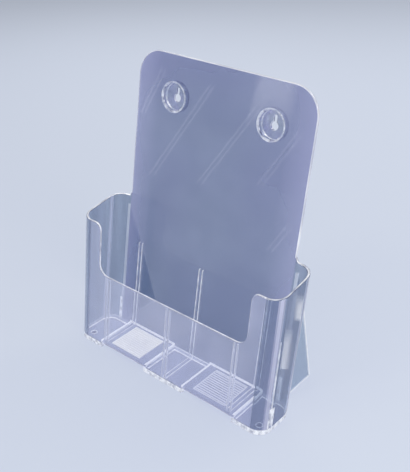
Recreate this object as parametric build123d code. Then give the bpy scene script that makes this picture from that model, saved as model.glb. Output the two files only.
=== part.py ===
from build123d import *

# Leaning magazine rack: a clear pocket with a tall back panel, in millimetres.
# The origin is the middle of the footprint on the ground.
# +X runs to the right, the pocket's front faces -Y, and +Z is up.
# The back panel and everything on it lean back, so two leaning planes carry the shapes.

import os
from math import cos, radians, sin, tan

# Overall sizes.
WIDTH = 235.0  # across the two side walls
DEPTH = 98.8  # on the ground, from the front skirt to the toes of the rear fins
HEIGHT = 285.3  # from the ground to the top edge of the back panel

# Pocket.
POCKET_DEPTH = 43.8  # front wall's outer face to the panel's front face, on the ground
POCKET_CORNER = 14.0  # outside radius of the four upright corners
LEAN = 9.0  # degrees that the back panel leans back
FRONT_LEAN = 7.2  # degrees that the front wall leans back
WALL = 2.4
RIM_HEIGHT = 140.5  # side rim, where it meets the back face of the panel
RIM_FALL = 8.8  # how much lower the rim is at the front wall's outer face
SHOULDER_RADIUS = 4.5  # hollow curve between the rim and the panel's edge

# Front cut-out, which leaves a lip at each side.
FRONT_RIM_HEIGHT = 80.8
LIP_REACH = 28.0  # from the outside of the pocket to the lip's inner edge
LIP_TOP_RADIUS = 7.0
CUTOUT_RADIUS = 11.0

# Back panel.
SHOULDER_WIDTH = 20.25  # from the outside of the pocket in to the panel's edge
PANEL_THICKNESS = 2.6
PANEL_CORNER = 24.8
EDGE_RADIUS = 0.8  # rounding along the free edges

# Keyhole cups, which let the rack hang on two screws.
CUP_SPACING = 107.6
CUP_DROP = 37.8  # from the panel's top edge down to the cup's centre
CUP_RADIUS = 14.3
CUP_WALL = 2.0
CUP_RECESS = 5.8  # from the panel's front face down to the cup's floor
CUP_FLOOR = 2.0
CUP_MOUTH_RADIUS = 1.2
KEYHOLE_RADIUS = 3.7
KEYHOLE_DROP = 1.4  # the round hole's centre below the cup's centre
SLOT_WIDTH = 3.2
SLOT_REACH = 9.5  # from the round hole's centre to the top of the slot

# Floor: three shallow feet with a raised floor between each two.
FOOT_HEIGHT = 5.4
FLOOR = 2.0
CENTRE_FOOT_WIDTH = 49.2
SIDE_FOOT_WIDTH = 34.3
STEP_WALL = 2.0

# Round locating rings on the side feet.
RING_RADIUS = 3.4
RING_WIDTH = 0.8
RING_HEIGHT = 0.4
RING_FROM_SIDE = 12.0
RING_FROM_FRONT = 12.4

# Ribbed grip pads on the raised floors.
PAD_INNER_GAP = 9.7  # to the centre foot
PAD_OUTER_GAP = 11.0  # to the side foot
PAD_FRONT_GAP = 3.0  # to the front wall
PAD_REAR_GAP = 4.0  # to the back panel
PAD_BASE = 0.5
PAD_FRAME = 1.2
RIDGE_COUNT = 12
RIDGE_HEIGHT = 0.5

# Divider channels: pairs of thin rails that a loose divider would slide between.
CHANNEL_INSET = 5.0  # outer channels, in from the edges of the side feet
CHANNEL_SLOT = 3.0
RAIL_THICKNESS = 1.0
RAIL_DEPTH = 2.0
FLOOR_RAIL_HEIGHT = 2.0
BACK_RAIL_TOP = 98.0
FRONT_RAIL_DROP = 3.0  # below the front rim

# Rear fins, which hold the leaning panel up.
FIN_THICKNESS = 3.2
FIN_GAP = 1.2  # from the panel's edge out to the fin
FIN_DROP = 9.5  # from the rim down to the fin's top
FIN_TOP_DEPTH = 2.4  # blunt top, measured back from the panel, round at its rear
FIN_TOE_RADIUS = 2.0

# Heights that follow from the sizes, and room for tools that only cut.
FOOT_FLOOR_TOP = FLOOR
RAISED_FLOOR_TOP = FOOT_HEIGHT + FLOOR
RIM_FRONT_HEIGHT = RIM_HEIGHT - RIM_FALL
CUP_HEIGHT = HEIGHT - CUP_DROP
FIN_TOP_HEIGHT = RIM_HEIGHT - FIN_DROP
CLEAR = 20.0  # how far a cutting shape stands past what it cuts
POCKET_TOP = RIM_HEIGHT + CLEAR

# Faces that the pieces share.
FRONT_Y = -DEPTH / 2
PANEL_Y = FRONT_Y + POCKET_DEPTH
SIDE_X = WIDTH / 2
PANEL_X = SIDE_X - SHOULDER_WIDTH
CORNER_X = SIDE_X - POCKET_CORNER  # where the flat front wall runs into the round corner
CENTRE_FOOT_X = CENTRE_FOOT_WIDTH / 2
SIDE_FOOT_X = SIDE_X - SIDE_FOOT_WIDTH
CHANNEL_X = SIDE_FOOT_X - CHANNEL_INSET
SIDES = {"left": -1, "right": 1}


def lean_y(height, degrees):
    """How far back a leaning face has moved at this height."""
    return height * tan(radians(degrees))


def panel_front_y(height):
    """The y of the panel's front face at this height."""
    return PANEL_Y + lean_y(height, LEAN)


def panel_back_y(height):
    """The y of the panel's back face at this height."""
    return panel_front_y(height) + PANEL_THICKNESS / cos(radians(LEAN))


def front_outer_y(height):
    """The y of the front wall's outer face at this height."""
    return FRONT_Y + lean_y(height, FRONT_LEAN)


def front_inner_y(height):
    """The y of the front wall's inner face at this height."""
    return front_outer_y(height) + WALL / cos(radians(FRONT_LEAN))


def slant(height):
    """Distance up the leaning panel at which this height is reached."""
    return height / cos(radians(LEAN))


# On PANEL_PLANE x runs to the right, y up the panel's front face, and z out of its front.
PANEL_PLANE = Plane(
    origin=(0, PANEL_Y, 0),
    x_dir=(1, 0, 0),
    z_dir=(0, -cos(radians(LEAN)), sin(radians(LEAN))),
)
# The same on the inner face of the front wall, with z pointing into the pocket.
FRONT_PLANE = Plane(
    origin=(0, front_inner_y(0), 0),
    x_dir=(-1, 0, 0),
    z_dir=(0, cos(radians(FRONT_LEAN)), -sin(radians(FRONT_LEAN))),
)
# The rim falls in one plane from the panel to the front wall.
RIM_RUN = panel_back_y(RIM_HEIGHT) - front_outer_y(RIM_FRONT_HEIGHT)
RIM_PLANE = Plane(
    origin=(0, panel_back_y(RIM_HEIGHT), RIM_HEIGHT),
    x_dir=(1, 0, 0),
    z_dir=(0, RIM_FRONT_HEIGHT - RIM_HEIGHT, RIM_RUN),
)


def span(x0, x1, y0, y1, z0, z1):
    """A box between two opposite corners."""
    size = (abs(x1 - x0), y1 - y0, z1 - z0)
    return Pos((x0 + x1) / 2, (y0 + y1) / 2, (z0 + z1) / 2) * Box(*size)


def band(z0, z1, x0=-WIDTH, x1=WIDTH):
    """A box that takes everything between two heights, and between two x places."""
    return span(x0, x1, -HEIGHT, HEIGHT, z0, z1)


def below(shape, plane):
    """The part of a shape on the low side of a plane."""
    return split(shape, bisect_by=plane, keep=Keep.BOTTOM)


def above_height(shape, height):
    """The part of a shape above a height."""
    return split(shape, bisect_by=Plane.XY.offset(height), keep=Keep.TOP)


def pocket_section(height, front, rear, width, radius):
    """A rounded oblong at one height, from its front y to its rear y."""
    section = RectangleRounded(width, rear - front, radius)
    return Pos(0, (front + rear) / 2, height) * section


def pocket_outside():
    """Everything inside the pocket's outer faces, from the ground up past the rim."""
    sections = [
        pocket_section(z, front_outer_y(z), panel_back_y(z), WIDTH, POCKET_CORNER)
        for z in (0, POCKET_TOP)
    ]
    return loft(sections, ruled=True)


def pocket_inside():
    """The pocket's hollow, from the top of the feet's floor up past the rim."""
    sections = [
        pocket_section(z, front_inner_y(z), panel_front_y(z), WIDTH - 2 * WALL, POCKET_CORNER - WALL)
        for z in (FOOT_FLOOR_TOP, POCKET_TOP + CLEAR)
    ]
    return loft(sections, ruled=True)


OUTSIDE = pocket_outside()
INSIDE = pocket_inside()
WALLS = below(above_height(OUTSIDE - INSIDE, FOOT_HEIGHT), RIM_PLANE)
MIDDLE_Y = (FRONT_Y + PANEL_Y) / 2  # halfway between front wall and panel, on the ground
REAR_HALF = Plane(
    origin=(0, MIDDLE_Y, 0),
    x_dir=(1, 0, 0),
    z_dir=(0, cos(radians(LEAN)), -sin(radians(LEAN))),
)


def front_half(shape):
    """The part of a shape in front of the pocket's middle."""
    return split(shape, bisect_by=REAR_HALF, keep=Keep.BOTTOM)


def rear_half(shape):
    """The part of a shape behind the pocket's middle."""
    return split(shape, bisect_by=REAR_HALF, keep=Keep.TOP)


def cutout_profile():
    """The opening in the front wall, drawn from the front, with flared top corners."""
    lip_x = SIDE_X - LIP_REACH
    window = Pos(0, (FRONT_RIM_HEIGHT + HEIGHT) / 2) * Rectangle(2 * lip_x, HEIGHT - FRONT_RIM_HEIGHT)
    window = fillet(window.vertices().group_by(Axis.Y)[0], CUTOUT_RADIUS)
    for side in SIDES.values():
        flare_x = side * (lip_x + LIP_TOP_RADIUS)
        flare_y = RIM_FRONT_HEIGHT - LIP_TOP_RADIUS
        corner = Pos(flare_x - side * LIP_TOP_RADIUS / 2, flare_y + LIP_TOP_RADIUS) * Rectangle(
            LIP_TOP_RADIUS, 2 * LIP_TOP_RADIUS
        )
        window += corner - Pos(flare_x, flare_y) * Circle(LIP_TOP_RADIUS)
    return window


def front_wall():
    """The flat front wall with its cut-out, from one round corner to the other."""
    wall = front_half(WALLS) & band(FOOT_HEIGHT, POCKET_TOP, -CORNER_X, CORNER_X)
    cutter = extrude(Plane.XZ * cutout_profile(), amount=DEPTH, both=True)
    return wall - cutter


def side_wall(side):
    """One side wall with both round corners and the short return beside the panel."""
    return_wall = rear_half(WALLS) & band(FOOT_HEIGHT, POCKET_TOP, side * PANEL_X, side * WIDTH)
    corner_wall = front_half(WALLS) & band(FOOT_HEIGHT, POCKET_TOP, side * CORNER_X, side * WIDTH)
    rim = slant(RIM_HEIGHT)
    shoulder = Pos(side * (PANEL_X + SHOULDER_RADIUS / 2), rim) * Rectangle(SHOULDER_RADIUS, 2 * SHOULDER_RADIUS)
    hollow = Pos(side * (PANEL_X + SHOULDER_RADIUS), rim + SHOULDER_RADIUS) * Circle(SHOULDER_RADIUS)
    web = extrude(PANEL_PLANE * (shoulder - hollow), amount=-PANEL_THICKNESS)
    return return_wall + corner_wall + web


def cup_place(side):
    """The middle of a keyhole cup, on the panel's front face."""
    return PANEL_PLANE * Pos(side * CUP_SPACING / 2, slant(CUP_HEIGHT))


def back_panel():
    """The leaning back panel, with a round hole for each keyhole cup."""
    top = slant(HEIGHT)
    shoulder_top = slant(RIM_HEIGHT) + SHOULDER_RADIUS
    lower = Pos(0, shoulder_top / 2) * Rectangle(2 * PANEL_X, shoulder_top)
    upper = Pos(0, (shoulder_top + top) / 2) * Rectangle(2 * PANEL_X, top - shoulder_top)
    upper = fillet(upper.vertices().group_by(Axis.Y)[-1], PANEL_CORNER)
    upper = extrude(PANEL_PLANE * upper, amount=-PANEL_THICKNESS)
    lower = extrude(PANEL_PLANE * lower, amount=-PANEL_THICKNESS)
    seam = PANEL_PLANE.offset(-PANEL_THICKNESS / 2)
    free_edges = [
        edge
        for edge in upper.edges()
        if abs(seam.to_local_coords(edge).center().Z) > PANEL_THICKNESS / 4
        and PANEL_PLANE.to_local_coords(edge).center().Y > shoulder_top + EDGE_RADIUS
    ]
    upper = fillet(free_edges, EDGE_RADIUS)
    panel = above_height(upper + lower, FOOT_HEIGHT)
    for side in SIDES.values():
        panel -= cup_place(side) * Cylinder(CUP_RADIUS, CLEAR)
    return panel


def keyhole_cup(side):
    """A round cup that passes through the panel, with a keyhole in its floor."""
    depth = CUP_RECESS + CUP_FLOOR
    cup = Pos(0, 0, -depth / 2) * Cylinder(CUP_RADIUS, depth)
    cup -= Pos(0, 0, -CUP_RECESS / 2) * Cylinder(CUP_RADIUS - CUP_WALL, CUP_RECESS)
    mouth = cup.edges().filter_by(GeomType.CIRCLE).group_by(Axis.Z)[-1].sort_by(SortBy.RADIUS)[0]
    cup = fillet(mouth, CUP_MOUTH_RADIUS)
    slot_top = SLOT_REACH - SLOT_WIDTH / 2
    hole = Cylinder(KEYHOLE_RADIUS, CLEAR)
    hole += Pos(0, slot_top / 2) * Box(SLOT_WIDTH, slot_top, CLEAR)
    hole += Pos(0, slot_top) * Cylinder(SLOT_WIDTH / 2, CLEAR)
    cup -= Pos(0, -KEYHOLE_DROP, -depth) * hole
    return cup_place(side) * cup


def foot(x0, x1, inner_x0, inner_x1):
    """A shallow tray between two x places that stands on the ground."""
    tray = OUTSIDE & band(0, FOOT_HEIGHT, x0, x1)
    return tray - (INSIDE & band(0, POCKET_TOP, inner_x0, inner_x1))


def centre_foot():
    """The foot in the middle of the pocket."""
    inner = CENTRE_FOOT_X - STEP_WALL
    return foot(-CENTRE_FOOT_X, CENTRE_FOOT_X, -inner, inner)


def side_foot(side):
    """The foot under one side wall, with a low round ring on its floor."""
    tray = foot(side * SIDE_FOOT_X, side * WIDTH, side * (SIDE_FOOT_X + STEP_WALL), side * WIDTH)
    ring = Cylinder(RING_RADIUS, RING_HEIGHT) - Cylinder(RING_RADIUS - RING_WIDTH, RING_HEIGHT)
    place = (side * (SIDE_X - RING_FROM_SIDE), FRONT_Y + RING_FROM_FRONT, FOOT_FLOOR_TOP + RING_HEIGHT / 2)
    return tray + Pos(*place) * ring


def raised_floor(side):
    """The floor between the centre foot and a side foot, level with the tops of their walls."""
    x0 = side * (CENTRE_FOOT_X - STEP_WALL)
    x1 = side * (SIDE_FOOT_X + STEP_WALL)
    return INSIDE & band(FOOT_HEIGHT, RAISED_FLOOR_TOP, x0, x1)


def grip_pad(side):
    """A thin framed pad with ridges that run from side to side."""
    inner_x, outer_x = CENTRE_FOOT_X + PAD_INNER_GAP, SIDE_FOOT_X - PAD_OUTER_GAP
    middle_x = side * (inner_x + outer_x) / 2
    front = front_inner_y(RAISED_FLOOR_TOP) + PAD_FRONT_GAP
    rear = panel_front_y(RAISED_FLOOR_TOP) - PAD_REAR_GAP
    half = (outer_x - inner_x) / 2
    base_top = RAISED_FLOOR_TOP + PAD_BASE
    ridge_top = base_top + RIDGE_HEIGHT
    pad = span(middle_x - half, middle_x + half, front, rear, RAISED_FLOOR_TOP, ridge_top)
    inner = half - PAD_FRAME
    field = (front + PAD_FRAME, rear - PAD_FRAME)
    pad -= span(middle_x - inner, middle_x + inner, *field, base_top, ridge_top)
    pitch = (field[1] - field[0]) / RIDGE_COUNT
    ridge = Polyline((-pitch / 2, 0), (0, RIDGE_HEIGHT), (pitch / 2, 0), close=True)
    ridge = extrude(Plane.YZ * make_face(ridge), amount=inner, both=True)
    for number in range(RIDGE_COUNT):
        pad += Pos(middle_x, field[0] + (number + 0.5) * pitch, base_top) * ridge
    return pad


def rail_places(middle_x):
    """The x of the two rails of one divider channel."""
    offset = (CHANNEL_SLOT + RAIL_THICKNESS) / 2
    return [middle_x - offset, middle_x + offset]


def back_rails(middle_x, floor_top):
    """The two rails that run up the front of the panel."""
    rails = []
    for x in rail_places(middle_x):
        top = slant(BACK_RAIL_TOP)
        shape = PANEL_PLANE * Pos(x, top / 2) * Rectangle(RAIL_THICKNESS, top)
        rails.append(above_height(extrude(shape, amount=RAIL_DEPTH), floor_top))
    return rails


def front_rails(middle_x, floor_top):
    """The two rails that run up the inside of the front wall."""
    top = (FRONT_RIM_HEIGHT - FRONT_RAIL_DROP) / cos(radians(FRONT_LEAN))
    rails = []
    for x in rail_places(middle_x):
        shape = FRONT_PLANE * Pos(-x, top / 2) * Rectangle(RAIL_THICKNESS, top)
        rails.append(above_height(extrude(shape, amount=RAIL_DEPTH), floor_top))
    return rails


def floor_rails(middle_x, floor_top):
    """The two rails on the floor, which run from the front rails to the back rails."""
    upright = back_rails(middle_x, floor_top) + front_rails(middle_x, floor_top)
    rails = []
    for x in rail_places(middle_x):
        half = RAIL_THICKNESS / 2
        rail = INSIDE & band(floor_top, floor_top + FLOOR_RAIL_HEIGHT, x - half, x + half)
        rails.append(rail - upright)
    return rails


def rear_fin(side):
    """An upright plate behind the panel's edge that reaches back to a round toe on the ground."""
    front_edge = Line((panel_back_y(0), 0), (panel_back_y(FIN_TOP_HEIGHT), FIN_TOP_HEIGHT))
    toe = Pos(DEPTH / 2 - FIN_TOE_RADIUS, FIN_TOE_RADIUS) * CenterArc((0, 0), FIN_TOE_RADIUS, 0, 360)
    blunt_radius = FIN_TOP_DEPTH / 2
    blunt_y = panel_back_y(FIN_TOP_HEIGHT) + blunt_radius
    blunt_top = Pos(blunt_y, FIN_TOP_HEIGHT - blunt_radius) * CenterArc((0, 0), blunt_radius, 0, 360)
    outline = make_hull([front_edge, toe, blunt_top])
    plate = extrude(Plane.YZ * outline, amount=side * FIN_THICKNESS)
    return Pos(side * (PANEL_X + FIN_GAP), 0, 0) * plate


def build_nodes():
    """Every piece of the rack, by the name of its node."""
    nodes = {
        "back_panel": back_panel(),
        "front_wall": front_wall(),
        "centre_foot": centre_foot(),
    }
    for name, side in SIDES.items():
        nodes[f"{name}_side_wall"] = side_wall(side)
        nodes[f"{name}_keyhole_cup"] = keyhole_cup(side)
        nodes[f"{name}_foot"] = side_foot(side)
        nodes[f"{name}_raised_floor"] = raised_floor(side)
        nodes[f"{name}_grip_pad"] = grip_pad(side)
        nodes[f"{name}_rear_fin"] = rear_fin(side)
    channels = {
        "left": (-CHANNEL_X, RAISED_FLOOR_TOP),
        "centre": (0, FOOT_FLOOR_TOP),
        "right": (CHANNEL_X, RAISED_FLOOR_TOP),
    }
    for name, (middle_x, floor_top) in channels.items():
        nodes[f"{name}_back_rails"] = Compound(back_rails(middle_x, floor_top))
        nodes[f"{name}_front_rails"] = Compound(front_rails(middle_x, floor_top))
        nodes[f"{name}_floor_rails"] = Compound(floor_rails(middle_x, floor_top))
    return nodes


os.makedirs("parts", exist_ok=True)
for node, shape in build_nodes().items():
    export_step(shape, f"parts/{node}.step")
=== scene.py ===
"""Clear magazine rack: moulded plastic pieces, their finishes, and the studio they stand in.

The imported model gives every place. Each feature of the moulding is shaped here again with rounded
edges, and it stands for the CAD node of the same name. All lengths are in metres.
"""

import logging
import math
from contextlib import contextmanager
from dataclasses import dataclass, replace
from enum import Enum, IntEnum
from typing import Callable, Iterable, Iterator, Sequence

import bmesh
import bpy
from mathutils import Euler, Matrix, Vector

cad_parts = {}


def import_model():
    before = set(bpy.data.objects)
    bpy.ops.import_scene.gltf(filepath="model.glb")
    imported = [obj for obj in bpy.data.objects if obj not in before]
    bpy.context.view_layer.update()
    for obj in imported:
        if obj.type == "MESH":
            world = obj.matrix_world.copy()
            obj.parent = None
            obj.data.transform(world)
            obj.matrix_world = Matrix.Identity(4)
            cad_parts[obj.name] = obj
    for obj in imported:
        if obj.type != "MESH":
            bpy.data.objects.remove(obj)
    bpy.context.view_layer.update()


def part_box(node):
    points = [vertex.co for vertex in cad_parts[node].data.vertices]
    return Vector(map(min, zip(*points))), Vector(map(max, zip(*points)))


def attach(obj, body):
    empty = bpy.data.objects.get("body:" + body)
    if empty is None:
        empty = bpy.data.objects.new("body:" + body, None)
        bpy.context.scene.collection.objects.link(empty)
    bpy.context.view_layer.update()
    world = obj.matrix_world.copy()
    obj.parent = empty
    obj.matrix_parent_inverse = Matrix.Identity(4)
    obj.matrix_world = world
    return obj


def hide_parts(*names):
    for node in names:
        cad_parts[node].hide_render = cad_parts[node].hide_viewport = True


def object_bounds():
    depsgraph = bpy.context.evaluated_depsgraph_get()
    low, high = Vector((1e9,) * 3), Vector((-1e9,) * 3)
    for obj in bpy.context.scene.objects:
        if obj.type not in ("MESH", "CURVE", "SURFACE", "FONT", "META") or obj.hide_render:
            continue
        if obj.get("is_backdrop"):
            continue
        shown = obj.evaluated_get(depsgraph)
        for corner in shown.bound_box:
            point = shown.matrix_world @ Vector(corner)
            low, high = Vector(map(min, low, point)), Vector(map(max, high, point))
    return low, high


LOG = logging.getLogger("magazine_rack")
MM = 0.001
BODY = "root"
NEAR = 0.02 * MM  # how close a corner lies to a plane that it is on
SAME = 0.002 * MM  # corners closer than this are one
SMOOTH_ANGLE = math.radians(35)
SIDES = {"left": -1, "right": 1}
RIGHT, REAR, UP, DOWN = (1, 0, 0), (0, 1, 0), (0, 0, 1), (0, 0, -1)

# How much of a unit normal or edge runs along an axis
ALONG = 0.9  # at least this much, where it follows the axis
SLANTED = 0.5
ACROSS = 0.1  # at most this much, where it stands square to the axis

SPARE = 1.2  # a sheet is started this many times as tall as it ends
ROUND_FLATS = 3  # make up a rounded edge
THIN_FLATS = 2  # make up a very small one
OUTSIDE_FLATS = 14  # round each of the rack's four upright corners

Colour = tuple[float, float, float]
Span = tuple[float, float]
Socket = bpy.types.NodeSocket
Finishes = list[bpy.types.Material]
Item = bpy.types.Object
Point = Sequence[float]
Corner, Edge, Face = bmesh.types.BMVert, bmesh.types.BMEdge, bmesh.types.BMFace
Element = Corner | Edge | Face
PlaceTest = Callable[[Vector], bool]
Test = Callable[[Vector, Vector], bool]  # of an element's middle, and the way it points


class Skin(IntEnum):
    """The material slots of a moulded piece, in this order; the last three hold painted highlights: bands
    and glints on the side walls, and glints in the cups.
    """

    SHEET = 0
    EDGE = 1
    JOINT = 2
    GLOW = 3
    FAINT = 4
    SPARKLE = 5


class Part(Enum):
    """What edit mode selects."""

    CORNERS = "VERT"
    EDGES = "EDGE"
    FACES = "FACE"


# -------- finishes


STYRENE_IOR = 1.57
HAZE_DETAIL, CLOUD_DETAIL = 2.0, 1.0  # finer layers of the haze's noise and of the clouds
NOISE_MIDDLE = (0.3, 0.7)  # where nearly all of the noise's heights lie
HALF = 0.5  # the share of each, where two patterns mix evenly


class NodeGarden:
    """A material's node tree with short calls for the nodes that the finishes share."""

    def __init__(self, name: str) -> None:
        """Starts an empty material.

        Args:
            name: The material's name.
        """
        self.material = bpy.data.materials.new(name)
        self.material.use_nodes = True
        self.tree = self.material.node_tree
        self.tree.nodes.clear()

    def add(self, kind: str, inputs: dict | None = None, out: str | int = 0, **settings: object) -> Socket:
        """Adds a node.

        Args:
            kind: The node's type after its leading ShaderNode, such as MixShader.
            inputs: For each input, by name or number, its constant or the socket linked to it.
            out: The output that is used, by name or number.
            settings: Properties of the node itself.

        Returns:
            The output's socket.
        """
        node = self.tree.nodes.new(f"ShaderNode{kind}")
        for key, value in settings.items():
            setattr(node, key, value)
        for key, value in (inputs or {}).items():
            if isinstance(value, Socket):
                self.tree.links.new(value, node.inputs[key])
            else:
                node.inputs[key].default_value = value
        return node.outputs[out]

    def noise(self, scale: float, detail: float, stretch: Point) -> Socket:
        """Adds noise on the piece's own coordinates.

        Args:
            scale: How fine the noise is, in waves to a metre.
            detail: How many finer layers it has.
            stretch: How many times finer it is along each axis.

        Returns:
            The socket with the noise's height.
        """
        place = self.add("TexCoord", out="Object")
        turned = self.add("Mapping", {"Vector": place, "Scale": stretch})
        return self.add("TexNoise", {"Vector": turned, "Scale": scale, "Detail": detail}, "Fac")

    def spread(self, value: Socket, source: Span, target: Span = (0.0, 1.0)) -> Socket:
        """Maps one range of a value onto another, and returns the new value's socket."""
        ends = dict(zip(("From Min", "From Max", "To Min", "To Max"), (*source, *target)))
        return self.add("MapRange", {"Value": value, **ends}, "Result")

    def climb(self, axis: str, low: float, high: float) -> Socket:
        """Adds a value that climbs from 0 to 1 between two places along an axis of the piece.

        Args:
            axis: X, Y or Z; along X the climb goes both ways from the middle.
            low: Where the climb starts.
            high: Where it ends.

        Returns:
            The socket with the value.
        """
        value = self.add("SeparateXYZ", {"Vector": self.add("TexCoord", out="Object")}, axis)
        if axis == "X":
            value = self.add("Math", {0: value}, operation="ABSOLUTE")
        return self.spread(value, (low, high))

    def blend(self, share: Socket, first: Colour | Socket, second: Colour) -> Socket:
        """Blends two colours by a share that varies.

        Args:
            share: The second colour's share.
            first: The first colour, or the socket that gives it.
            second: The second colour.

        Returns:
            The socket with the blend.
        """
        start = first if isinstance(first, Socket) else (*first, 1)
        colours = {"Factor": share, "A": start, "B": (*second, 1)}
        return self.add("Mix", colours, "Result", data_type="RGBA")

    def plastic(self, colour: Colour, roughness: float, clear: float = 0.0) -> Socket:
        """Adds a polished plastic surface, which lets through a clear share of the light inside."""
        look = {"Base Color": (*colour, 1), "Roughness": roughness, "Transmission Weight": clear}
        return self.add("BsdfPrincipled", {**look, "IOR": STYRENE_IOR})

    def lets_lamps_through(self, surface: Socket, shade: Colour) -> Socket:
        """Lets the light of lamps pass straight through glass, so that it casts a pale shadow.

        Args:
            surface: The glass.
            shade: What one face lets through.

        Returns:
            The surface with its shadow.
        """
        path = self.add("LightPath").node.outputs
        rays = {0: path["Is Shadow Ray"], 1: path["Is Diffuse Ray"]}
        either = self.add("Math", rays, operation="MAXIMUM")
        passing = self.add("BsdfTransparent", {"Color": (*shade, 1)})
        return self.add("MixShader", {"Fac": either, 1: surface, 2: passing})

    def output(self, surface: Socket) -> bpy.types.Material:
        """Ends the tree with the finished surface, and returns the material."""
        end = self.tree.nodes.new("ShaderNodeOutputMaterial")
        self.tree.links.new(surface, end.inputs["Surface"])
        return self.material


@dataclass(frozen=True)
class ClearPlastic:
    """Clear styrene: it bends what is behind it, and each face adds a share of milky haze."""

    name: str
    tint: Colour  # what one face lets through
    haze: Colour
    share: float  # how much of one face is haze
    variation: float = 0.02  # how far that share wanders over the face
    scale: float = 12.0  # waves of that variation to a metre
    stretch: Point = (1.0, 1.0, 1.0)
    haze_roughness: float = 0.3
    shade: Colour = (0.97, 0.97, 0.99)  # what one face lets through to the table
    cloud: Colour | None = None  # the haze's second colour, in soft clouds
    fade: tuple[str, float, float] | None = None  # the way along which the clouds take over
    bloom: Colour | None = None  # the haze's colour towards the left and right edges
    bloom_from: Span = (0.0, 1.0)  # where it starts and where it is full

    def build(self) -> bpy.types.Material:
        """Makes the material.

        Returns:
            The material.
        """
        made = NodeGarden(self.name)
        clear = made.plastic(self.tint, 0.0, clear=1.0)
        milky = made.plastic(self.haze, self.haze_roughness)
        wander = made.noise(self.scale, HAZE_DETAIL, self.stretch)
        if self.cloud:
            clouds = made.noise(self.scale / 2, CLOUD_DETAIL, self.stretch)
            clouds = made.spread(clouds, NOISE_MIDDLE)
            if self.fade:
                halves = {"Factor": HALF, "A": clouds, "B": made.climb(*self.fade)}
                clouds = made.add("Mix", halves, "Result", data_type="FLOAT")
            colour = made.blend(clouds, self.haze, self.cloud)
            if self.bloom:
                colour = made.blend(made.climb("X", *self.bloom_from), colour, self.bloom)
            made.tree.links.new(colour, milky.node.inputs["Base Color"])
        ends = (self.share - self.variation, self.share + self.variation)
        share = made.spread(wander, NOISE_MIDDLE, ends)
        body = made.add("MixShader", {"Fac": share, 1: clear, 2: milky})
        return made.output(made.lets_lamps_through(body, self.shade))


@dataclass(frozen=True)
class HiddenJoint:
    """A face inside the plastic, where two features run into each other and nothing shows."""

    name: str = "inside_joint"

    def build(self) -> bpy.types.Material:
        """Makes the material."""
        made = NodeGarden(self.name)
        return made.output(made.add("BsdfTransparent"))


@dataclass(frozen=True)
class FloorPaint:
    """A matt pale floor."""

    name: str
    colour: Colour
    roughness: float = 0.8

    def build(self) -> bpy.types.Material:
        """Makes the material."""
        paint = {"Base Color": (*self.colour, 1), "Roughness": self.roughness, "Specular IOR Level": 0.0}
        made = NodeGarden(self.name)
        return made.output(made.add("BsdfPrincipled", paint))


CLEAR, WHITE, LILAC = (0.88, 0.90, 0.95), (0.95, 0.96, 0.98), (0.86, 0.85, 1.0)
DUSK, MAUVE = (0.06, 0.10, 0.195), (0.25, 0.255, 0.48)
TALL = (1.0, 1.0, 0.12)  # draws a pattern out up the piece

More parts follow.
